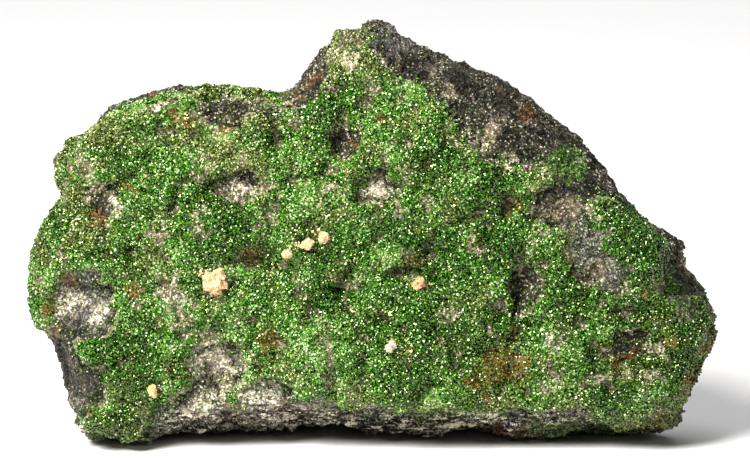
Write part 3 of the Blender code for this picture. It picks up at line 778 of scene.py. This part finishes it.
# %% Glitter: tiny facets, each tilted its own way
def glitter():
    """The mesh is too coarse for the smallest crystals, so their faces are tilted normals."""
    w, given, result = new_tree(
        "glitter", "ShaderNodeTree",
        (("Where", "vector"), ("Grain", "value", 5000.0), ("Tilt", "value", 0.6)),
        (("Normal", "vector"), ("Facet", "value"), ("Chance", "value")),
    )
    cell = w.add("ShaderNodeTexVoronoi", {}, 1, Vector=given["Where"], Scale=given["Grain"])
    split = w.add("ShaderNodeSeparateColor", i0=cell).node
    tilt = w.vector("SCALE", w.vector("SUBTRACT", cell, i1=(0.5, 0.5, 0.5)), Scale=given["Tilt"])
    upright = w.add("ShaderNodeNewGeometry", out=1)
    w.link(w.vector("NORMALIZE", w.vector("ADD", upright, i1=tilt)), result["Normal"])
    w.link(split.outputs[2], result["Facet"])
    w.link(split.outputs[1], result["Chance"])
    return w.tree


# %% Iron stain: how brown a place is
def iron_stain():
    w, given, result = new_tree(
        "iron_stain", "ShaderNodeTree",
        (("Where", "vector"), ("Amount", "value", 0.0), ("Colour", "colour")),
        (("Colour", "colour"),),
    )
    blotch = w.noise(given["Where"], 900.0, 5.0, 0.75)
    share = w.plus(w.times(given["Amount"], 0.55), w.times(blotch, 0.9))
    share = w.step(share, 0.66, 1.0)
    speck = w.step(w.noise(given["Where"], 2400.0, 3.0), 0.38, 0.62)
    rust = w.blend(speck, colour(48, 31, 11), colour(144, 92, 41))
    w.link(w.blend(w.times(share, 0.72), given["Colour"], rust), result["Colour"])
    return w.tree


# %% Garnet tone: from near-black green to yellow-green and a painted glint of nearly white green on the brightest faces, dusty olive where weathered
def garnet_tone_and_glint():
    w, given, result = new_tree(
        "garnet_tone_and_glint", "ShaderNodeTree",
        (("Tone", "value", 0.5), ("Olive", "value", 0.0), ("Chance", "value", 0.5),
         ("Facet", "value", 0.5)),
        (("Colour", "colour"),),
    )
    by_crystal, by_face = 0.75, 1.3  # how far the tone varies from one to the next
    varied = w.times(w.minus(given["Chance"], 0.5), by_crystal)
    varied = w.plus(given["Tone"], varied)
    facet = w.times(w.minus(given["Facet"], 0.5), by_face)
    varied = w.plus(varied, facet)
    green = w.blend(w.step(varied, -0.1, 0.4), colour(4, 24, 0), colour(28, 94, 2))
    green = w.blend(w.step(varied, 0.35, 0.8), green, colour(92, 150, 38))
    # painted glint: the brightest faces turn nearly white green, as if they caught the lamp
    green = w.blend(w.step(varied, 0.85, 1.3), green, colour(186, 206, 160))
    drab = w.blend(w.step(varied, 0.0, 0.5), colour(26, 29, 3), colour(88, 90, 34))
    drab = w.blend(w.step(varied, 0.55, 1.1), drab, colour(168, 166, 116))
    weathered = w.times(given["Olive"], 0.75)
    dusty = w.step(given["Chance"], 0.62, 0.86, 0.0, 0.9)
    dusty = w.times(dusty, w.plus(w.times(given["Olive"], 1.3), 0.12))
    share = w.math("MAXIMUM", weathered, dusty, clamp=True)
    w.link(w.blend(share, green, drab), result["Colour"])
    return w.tree


GRAIN, GLITTER, STAIN, TONE_AND_GLINT = mineral_grain(), glitter(), iron_stain(), garnet_tone_and_glint()
print("effects:", GRAIN.name, GLITTER.name, STAIN.name, TONE_AND_GLINT.name)

# %% Kinds of rock: size of grain, dark, middle and light colour, share of light grains
DARK_ROCK = (4200.0, colour(17, 16, 6), colour(64, 62, 39), colour(200, 192, 172), 0.075)
# the near-black kind, used in the places listed as dark
DARKEST_ROCK = (4600.0, colour(14, 14, 8), colour(46, 44, 32), colour(116, 110, 88), 0.05)
PALE_ROCK = (3600.0, colour(92, 80, 60), colour(150, 136, 108), colour(226, 214, 188), 0.18)
# cream rock, partly painted light
CREAM_AND_LIT_ROCK = (3600.0, colour(130, 122, 100), colour(210, 202, 174), colour(248, 242, 226), 0.28)
SLATE_ROCK = (4600.0, colour(42, 42, 37), colour(98, 97, 89), colour(168, 166, 152), 0.12)
RIM_ROCK = (3600.0, colour(24, 20, 14), colour(162, 148, 124), colour(252, 242, 224), 0.48)


def grained(w, where, kind):
    """The colour and the height of one kind of rock."""
    names = ("Grain", "Dark", "Middle", "Light", "Light_share")
    made = w.group(GRAIN, Where=where, **dict(zip(names, kind)))
    return made["Colour"], made["Height"]


def rust(w, where, amount, body):
    """The colour under an iron stain."""
    return w.group(STAIN, Where=where, Amount=amount, Colour=body)["Colour"]


# %% The finish of the rock
def rock_finish():
    made, shader, w = finish("granular_chromite_rock", 0.5, Specular_IOR_Level=0.22)
    where = w.object_place()
    body, height = grained(w, where, DARK_ROCK)
    # the cream rock is partly painted light on a shaded patch
    for zone_name, kind in (
        ("lower_rim", RIM_ROCK), ("dark", DARKEST_ROCK), ("slate", SLATE_ROCK), ("pale", PALE_ROCK),
        ("cream", CREAM_AND_LIT_ROCK),
    ):
        body = w.blend(w.attribute(zone_name), body, grained(w, where, kind)[0])
    # painted shade: the hollows of the rock's relief are darkened
    body = w.blend(w.step(w.attribute("relief"), 0.55, 0.05, 0.0, 0.75), body, colour(20, 18, 12))
    # the foot is layered: dark painted shade in the gaps and pale edges as a painted highlight, both along a
    # squeezed noise
    flat_lying, gap_level, gap_width = (0.4, 1.0, 1.8), 0.47, 0.065
    layer = w.noise(w.vector("MULTIPLY", where, i1=flat_lying), 620.0, 5.0, 0.6)
    shaded_gap = w.step(w.math("ABSOLUTE", w.minus(layer, gap_level)), 0.0, gap_width, 1.0, 0.0)
    # painted shade in the gaps between the layers
    body = w.blend(w.times(shaded_gap, w.attribute("lower_rim")), body, colour(14, 12, 9))
    # painted highlight: the edges of the layers are lightened
    edge = w.times(w.step(layer, 0.55, 0.60, 0.0, 0.75), w.attribute("lower_rim"))
    body = w.blend(edge, body, colour(230, 220, 194))
    # a thin dust of green
    fine = w.group(GLITTER, Where=where, Grain=5600.0, Tilt=0.7)
    drab = w.group(
        TONE_AND_GLINT, Tone=w.attribute("tone"), Olive=w.attribute("olive"),
        Chance=fine["Chance"], Facet=fine["Facet"],
    )["Colour"]
    frayed = w.plus(w.attribute("dusted"), w.times(w.noise(where, 1800.0, 3.0), 0.7))
    body = w.blend(w.step(frayed, 0.60, 1.05, 0.0, 0.85), body, drab)
    w.link(rust(w, where, w.attribute("stain"), body), shader["Base Color"])
    w.link(w.step(w.noise(where, 2600.0, 2.0), 0.35, 0.7, 0.6, 0.28), shader["Roughness"])
    ledges = w.times(w.minus(layer, shaded_gap), w.attribute("lower_rim"))
    bump = w.add(
        "ShaderNodeBump", Strength=0.9, Distance=0.00026,
        Height=w.plus(height, w.times(ledges, 3.0)), Normal=fine["Normal"],
    )
    w.link(bump, shader["Normal"])
    return made


rock_mesh.materials.append(rock_finish())

# %% The finish of the bed under the crystals
GARNET_IOR = 1.86
GREEN_SHEEN = (0.78, 1.0, 0.48, 1.0)  # garnet this dark tints what it reflects


def bed_finish():
    made, shader, w = finish("druse_bed_finish", 0.16, GARNET_IOR, Specular_Tint=GREEN_SHEEN)
    where = w.object_place()
    fine = w.group(GLITTER, Where=where, Grain=4600.0, Tilt=1.5)
    # painted shade: the bed is darker than the crystals over it, less so where rock shows through
    shade_between_crystals = w.minus(0.22, w.times(w.attribute("bare"), 0.4))
    green = w.group(
        TONE_AND_GLINT, Tone=w.minus(w.attribute("tone"), shade_between_crystals), Olive=w.attribute("olive"),
        Chance=fine["Chance"], Facet=fine["Facet"],
    )["Colour"]
    stone = grained(w, where, DARK_ROCK)[0]
    pale = w.plus(w.times(w.attribute("pale"), 0.45), 0.55)
    # the cream stone is partly painted light on a shaded patch
    for share, kind in (
        (w.attribute("slate"), SLATE_ROCK), (pale, PALE_ROCK), (w.attribute("cream"), CREAM_AND_LIT_ROCK),
        (w.attribute("dark"), DARKEST_ROCK),
    ):
        stone = w.blend(share, stone, grained(w, where, kind)[0])
    frayed = w.plus(w.attribute("bare"), w.times(w.noise(where, 2800.0, 2.0), 0.6))
    body = w.blend(w.step(frayed, 0.55, 0.95), green, stone)
    w.link(rust(w, where, w.attribute("stain"), body), shader["Base Color"])
    dull = w.math("MAXIMUM", w.attribute("bare"), w.step(w.attribute("tone"), 0.4, 0.8))
    w.link(w.step(dull, 0.2, 0.8, 0.11, 0.5), shader["Roughness"])
    w.link(fine["Normal"], shader["Normal"])
    return made


bed_mesh.materials.append(bed_finish())


# %% The finish of the crystals
def crystal_finish(name, roughness, brighten):
    """Glassy garnet. Its high index makes the strong glints, tinted a little by its own green."""
    made, shader, w = finish(name, roughness, GARNET_IOR, Specular_Tint=GREEN_SHEEN)
    where = w.object_place()
    fine = w.group(GLITTER, Where=where, Grain=4200.0, Tilt=0.3)
    stepped = w.times(w.minus(fine["Facet"], 0.5), 0.6)
    green = w.group(
        TONE_AND_GLINT, Tone=w.plus(w.attribute("tone"), brighten), Olive=w.attribute("olive"),
        Chance=w.attribute("chance"), Facet=w.plus(w.attribute("facet"), stepped),
    )["Colour"]
    w.link(w.step(w.attribute("tone"), 0.42, 0.8, roughness, 0.4), shader["Roughness"])
    w.link(fine["Normal"], shader["Normal"])
    amount = w.times(w.attribute("stain"), 0.8)
    w.link(rust(w, where, amount, green), shader["Base Color"])
    return made


# %% [markdown]
# The druse is not all alike: clear dark emerald crystals of up to half a
# millimetre in the hollows and on the boss, leaf-green ones almost everywhere,
# and a fine bright or olive growth on the high places. Each growth is its own
# piece, scattered by the same tree with its own sizes, seed and place.

# %% A helper that scatters one growth
MM2 = MM * MM


def grow(name, surface, shape, made, share, spacing, dense, smallest, largest, seed):
    """Many small shapes on a surface as one plain mesh. Sizes in millimetres, dense per mm2."""
    store(surface, name, share)
    host = add_object(name, surface)
    scatter = host.modifiers.new("scatter", "NODES")
    scatter.node_group = crystals_on_a_surface
    given = {
        "Crystal": shape, "Finish": made, "Spacing": spacing * MM, "Most per area": dense / MM2,
        "Smallest": smallest * MM, "Largest": largest * MM, "Growth": name, "Seed": seed,
    }
    for item in crystals_on_a_surface.interface.items_tree:
        if item.in_out == "INPUT" and item.name in given:
            scatter[item.identifier] = given[item.name]
    mesh = plain_mesh(host)
    bpy.data.objects.remove(host)
    set_points(mesh, stay_inside(points_of(mesh)))
    pieces = len(mesh.polygons) // len(shape.data.polygons)
    print(name, pieces, "pieces,", triangles_of(mesh), "triangles")
    return add_object(name, mesh)


# %% Scatter the garnet crystals
# large crystals where the tone is deep, fine ones where it is bright or olive
mixed = 0.5 + 0.5 * lumps(places, 3.0, 2, 61.0)
large_share = np.clip(1.15 - 1.1 * tone - 0.35 * olive + 0.4 * (mixed - 0.5), 0.05, 1.0)
fine_share = np.clip(0.6 * olive + 1.1 * (tone - 0.35) + 0.4 * (mixed - 0.5), 0.08, 1.0)
GROWTHS = (
    # name, shape, share of the surface, spacing, most per mm2, smallest, largest,
    # roughness, brighten, seed
    ("emerald_crystals_a", crystal, large_share, 0.34, 2.9, 0.36, 0.56, 0.09, -0.06, 3),
    ("emerald_crystals_b", crystal, large_share, 0.33, 2.8, 0.34, 0.50, 0.13, -0.02, 4),
    ("leaf_green_crystals", sugar, 0.45 + 0.55 * mixed, 0.28, 3.6, 0.28, 0.44, 0.16, 0.04, 5),
    ("fine_green_crystals", sugar, fine_share, 0.20, 10.0, 0.18, 0.32, 0.40, 0.10, 6),
)
growths = []
for name, shape, share, spacing, dense, smallest, largest, roughness, brighten, seed in GROWTHS:
    made = crystal_finish(name + "_finish", roughness, brighten)
    growths.append(grow(
        name, bed_mesh, shape, made, covered * share, spacing, dense, smallest, largest, seed
    ))

# %% Let a thin fringe of crystals run out over the rock
FRINGE_FULL, FRINGE_ENDS = 0.6, 2.6  # millimetres from the crust's rim
rock_points = points_of(rock_mesh)
rock_places = to_face(rock_points)
toward_front = facing_front(rock_mesh, -0.3, 0.2)
rock_speckled = 0.5 * lumps(rock_places, 1.1, 2, 91.0)
store_tones(rock_mesh, rock_places, wander(rock_places), 0.4, rock_speckled)
from_rim = rim_distance(rock_points) + 2.0 * rock_speckled + 1.3 * lumps(rock_places, 4.0, 2, 52.0)
fringe = np.maximum(
    smooth_step(FRINGE_ENDS, FRINGE_FULL, from_rim),
    0.45 * dusted * smooth_step(0.9, 1.3, crust_distance(rock_points)),
) * toward_front
growths.append(grow(
    "fringe_crystals", rock_mesh, crystal, crystal_finish("fringe_crystals_finish", 0.15, 0.0),
    0.85 * fringe, spacing=0.40, dense=2.4, smallest=0.32, largest=0.50, seed=7,
))
for shape in (crystal, sugar):
    bpy.data.objects.remove(shape)

# %% [markdown]
# ## Grains of the bare rock
# Broken chromite rock is a mass of small dark grains with pale ones between.
# Colour alone looks painted, so a few thousand angular grains stand out of it.

# %% One grain, and its finish
def rock_grain():
    """An uneven eight-sided grain about one unit across."""
    shape = bmesh.new()
    bmesh.ops.create_icosphere(shape, subdivisions=1, radius=0.5)
    bmesh.ops.delete(shape, geom=[v for i, v in enumerate(shape.verts) if i % 2], context="VERTS")
    for number, corner in enumerate(shape.verts):
        corner.co *= 0.75 + 0.5 * noise.cell(Vector((number + 0.5, 0.0, 0.0)))
    bmesh.ops.convex_hull(shape, input=shape.verts)
    return scatter_shape("rock_grain", shape)


def grain_finish():
    made, shader, w = finish("rock_grain_finish", 0.38, Specular_IOR_Level=0.4)
    chance = w.attribute("chance")
    body = w.blend(w.step(chance, 0.25, 0.7), colour(28, 26, 16), colour(72, 67, 48))
    body = w.blend(w.step(chance, 0.93, 0.97), body, colour(198, 190, 172))
    body = w.blend(w.times(w.attribute("dark"), 0.8), body, colour(26, 25, 20))
    pale = w.blend(w.step(chance, 0.2, 0.95), colour(92, 80, 60), colour(190, 178, 150))
    body = w.blend(w.times(w.attribute("pale"), 0.8), body, pale)
    w.link(rust(w, w.object_place(), w.attribute("stain"), body), shader["Base Color"])
    return made


# %% Scatter the grains on the rock and in the bare patches
grain_shape = rock_grain()
grain_made = grain_finish()
open_rock = smooth_step(0.5, 1.2, crust_distance(rock_points)) * (1.0 - 0.6 * dusted)
open_rock *= smooth_step(0.6, 1.6, rock_points[:, 2] / MM)
open_rock *= 0.10 + 0.90 * toward_front
sizes = {"smallest": 0.24, "largest": 0.44}
grains = [
    grow("rock_grains", rock_mesh, grain_shape, grain_made, open_rock,
         spacing=0.36, dense=1.8, seed=11, **sizes),
    grow("grains_in_bare_patches", bed_mesh, grain_shape, grain_made,
         above * smooth_step(0.25, 0.7, bare), spacing=0.28, dense=4.0, seed=12, **sizes),
]
bpy.data.objects.remove(grain_shape)

# %% [markdown]
# ## The calcite crumbs
# A few cream and peach grains of calcite sit on the druse. Their solids are
# plain lumps, so each gets its own corroded surface of small broken faces, and
# loose bits of the same calcite are strewn about them.

# %% Work out the crumbs
CRUMB_TINTS = ((238, 192, 140), (230, 200, 128), (222, 194, 132), (224, 198, 138),
               (214, 184, 130), (218, 158, 108), (222, 204, 182))
FLAKE_DEPTH = 0.24  # as a share of the crumb's width


def crumb_finish(name, tint):
    made, shader, w = finish(name, 0.5, Subsurface_Weight=0.05, Subsurface_Scale=0.0004)
    where = w.object_place()
    blotch = w.noise(where, 1500.0, 3.0, 0.6)
    shade = tuple(int(0.72 * c) for c in tint)
    body = w.blend(w.step(blotch, 0.35, 0.65), colour(*shade), colour(*tint))
    body = w.blend(w.step(w.noise(where, 3200.0, 1.0), 0.55, 0.75), body, colour(250, 236, 208))
    w.link(body, shader["Base Color"])
    w.link(w.add("ShaderNodeBump", Strength=0.7, Distance=0.0002, Height=blotch), shader["Normal"])
    return made


crumbs = []
for number, tint in enumerate(CRUMB_TINTS, 1):
    mesh = finer_copy(f"calcite_crumb_{number}")
    points = points_of(mesh)
    places = to_face(points)
    reach = FLAKE_DEPTH * np.ptp(places[:, 0])
    flakes = lumps(places, 1.1, 3, 4.0 * number) + 0.25 + 0.7 * (dishes(places, 0.8, 2.0 * number) - 0.5)
    points += normals_of(mesh) * (reach * flakes * MM)[:, None]
    set_points(mesh, points)
    crumble(mesh, shake=0.04, seed=20 + number)
    mesh.materials.append(crumb_finish(f"calcite_finish_{number}", tint))
    crumbs.append(add_object(f"calcite_grain_{number}", mesh))
print(len(crumbs), "crumbs")

# %% Strew small bits of calcite round them
SPECK_PIXELS = from_pixels((
    (391, 343, 4, 4), (405, 345, 3, 5), (403, 327, 2, 3), (216, 292, 7, 2), (228, 284, 3, 5),
    (205, 270, 4, 3), (158, 386, 4, 3), (320, 234, 4, 2), (296, 246, 4, 2), (424, 286, 4, 2),
))
bed_points = points_of(bed_mesh)
near = zone(to_face(bed_points).T[:2], SPECK_PIXELS, 0.2) * above
strewn = rock_grain()
bits = grow("calcite_bits", bed_mesh, strewn, crumb_finish("calcite_bit_finish", CRUMB_TINTS[2]),
            near, spacing=0.35, dense=5.0, smallest=0.5, largest=0.9, seed=13)
bpy.data.objects.remove(strewn)

# %% [markdown]
# ## Light, floor and camera
# The specimen stands on a plain white sweep. A round soft light at the upper left
# front makes both the shading and the glints, wide weak ones fill the shadows,
# and another lights the white behind.

# %% Floor
floor_mesh = bpy.data.meshes.new("studio_floor")
sweep = bmesh.new()
# the profile of the paper: y and z in metres, and its half width
HALF_WIDTH = 3.0
SWEEP = ((-3.0, 0.0), (1.2, 0.0), (1.6, 0.05), (1.9, 0.25), (2.0, 0.6), (2.0, 3.0))
rows = [[sweep.verts.new((x, y, z)) for x in (-HALF_WIDTH, HALF_WIDTH)] for y, z in SWEEP]
for near, far in zip(rows, rows[1:]):
    sweep.faces.new((near[0], near[1], far[1], far[0]))
sweep.to_mesh(floor_mesh)
sweep.free()
floor_mesh.shade_smooth()
floor = add_object("studio_floor", floor_mesh)
paper, paper_shader, _ = finish("white_paper", 0.9)
paper_shader["Base Color"].default_value = (0.90, 0.90, 0.91, 1.0)
paper_shader["Specular IOR Level"].default_value = 0.1
floor_mesh.materials.append(paper)

# %% Lights
MIDDLE = Vector((0.0, 0.0, 0.033))


def soft_light(name, direction, distance, size, radiance, tint=(1.0, 1.0, 1.0), aim=MIDDLE):
    """A disc light: direction is its azimuth from the front and its elevation."""
    azimuth, elevation = (math.radians(a) for a in direction)
    lamp = bpy.data.lights.new(name, "AREA")
    lamp.shape, lamp.size, lamp.color = "DISK", size, tint
    lamp.energy = radiance * math.pi * math.pi * (size / 2) ** 2
    holder = bpy.data.objects.new(name, lamp)
    bpy.context.scene.collection.objects.link(holder)
    towards = Vector((
        math.sin(azimuth) * math.cos(elevation), -math.cos(azimuth) * math.cos(elevation), math.sin(elevation)
    ))
    holder.location = aim + towards * distance
    holder.rotation_euler = (-towards).to_track_quat("-Z", "Y").to_euler()
    return holder


# azimuth and elevation in degrees, distance and size in metres, brightness, tint
soft_light("key_light", (-40, 42), 0.50, 0.27, 38.0, (1.0, 0.975, 0.95))
soft_light("right_light", (50, 30), 0.9, 0.30, 1.8)
soft_light("top_light", (0, 80), 0.8, 0.30, 2.0)
soft_light("backdrop_light", (180, 80), 0.8, 1.2, 1.8, aim=Vector((0.0, 0.45, 0.0)))
world = bpy.data.worlds.new("studio")
bpy.context.scene.world = world
world.use_nodes = True
surroundings = world.node_tree.nodes["Background"].inputs
surroundings["Color"].default_value = (1.0, 0.97, 0.85, 1.0)
surroundings["Strength"].default_value = 0.05
bpy.context.scene.view_settings.view_transform = "Standard"

# %% [markdown]
# The camera looks straight at the leaning face from so far away that a pixel of
# the picture covers the same length everywhere on it, as in the photograph.

# %% Camera
IMAGE_WIDTH, IMAGE_HEIGHT = 750, 462
LENS, SENSOR = 270.0, 36.0
FACE_PLANE_T = -6.0  # the depth of the outline, at which a photo pixel is exactly MM_PER_PIXEL
camera_data = bpy.data.cameras.new("camera")
camera_data.lens, camera_data.sensor_width = LENS, SENSOR
camera_data.clip_start, camera_data.clip_end = 0.05, 20.0
camera = bpy.data.objects.new("camera", camera_data)
bpy.context.scene.collection.objects.link(camera)
distance = IMAGE_WIDTH * MM_PER_PIXEL * LENS / SENSOR
aim = Vector((
    IMAGE_WIDTH / 2 - PIXEL_U0, PIXEL_V0 - IMAGE_HEIGHT / 2, 0.0
)) * MM_PER_PIXEL
aim.z = FACE_PLANE_T + distance
camera.matrix_world = Matrix.Translation(lean @ (aim * MM) + FACE_ORIGIN) @ lean.to_4x4()
bpy.context.scene.camera = camera
print("camera", round(distance), "mm away")

# %% [markdown]
# ## The roll call
# Every finished piece rides on the specimen's one body. The finer rock, bed and
# crumbs take the place of their solids.

# %% Say what stands for what
PIECES = [(rock, "chromite_matrix", "chromite_rock"), (bed, "uvarovite_druse", "green_garnet")]
PIECES += [(growth, None, "green_garnet") for growth in growths]
PIECES += [(piece, None, "chromite_rock") for piece in grains]
PIECES += [(bits, None, "calcite")]
PIECES += [(crumb, f"calcite_crumb_{number}", "calcite") for number, crumb in enumerate(crumbs, 1)]
for piece, solid, slot in PIECES:
    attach(piece, "root")
    if solid:
        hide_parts(solid)
print(len(PIECES), "pieces")
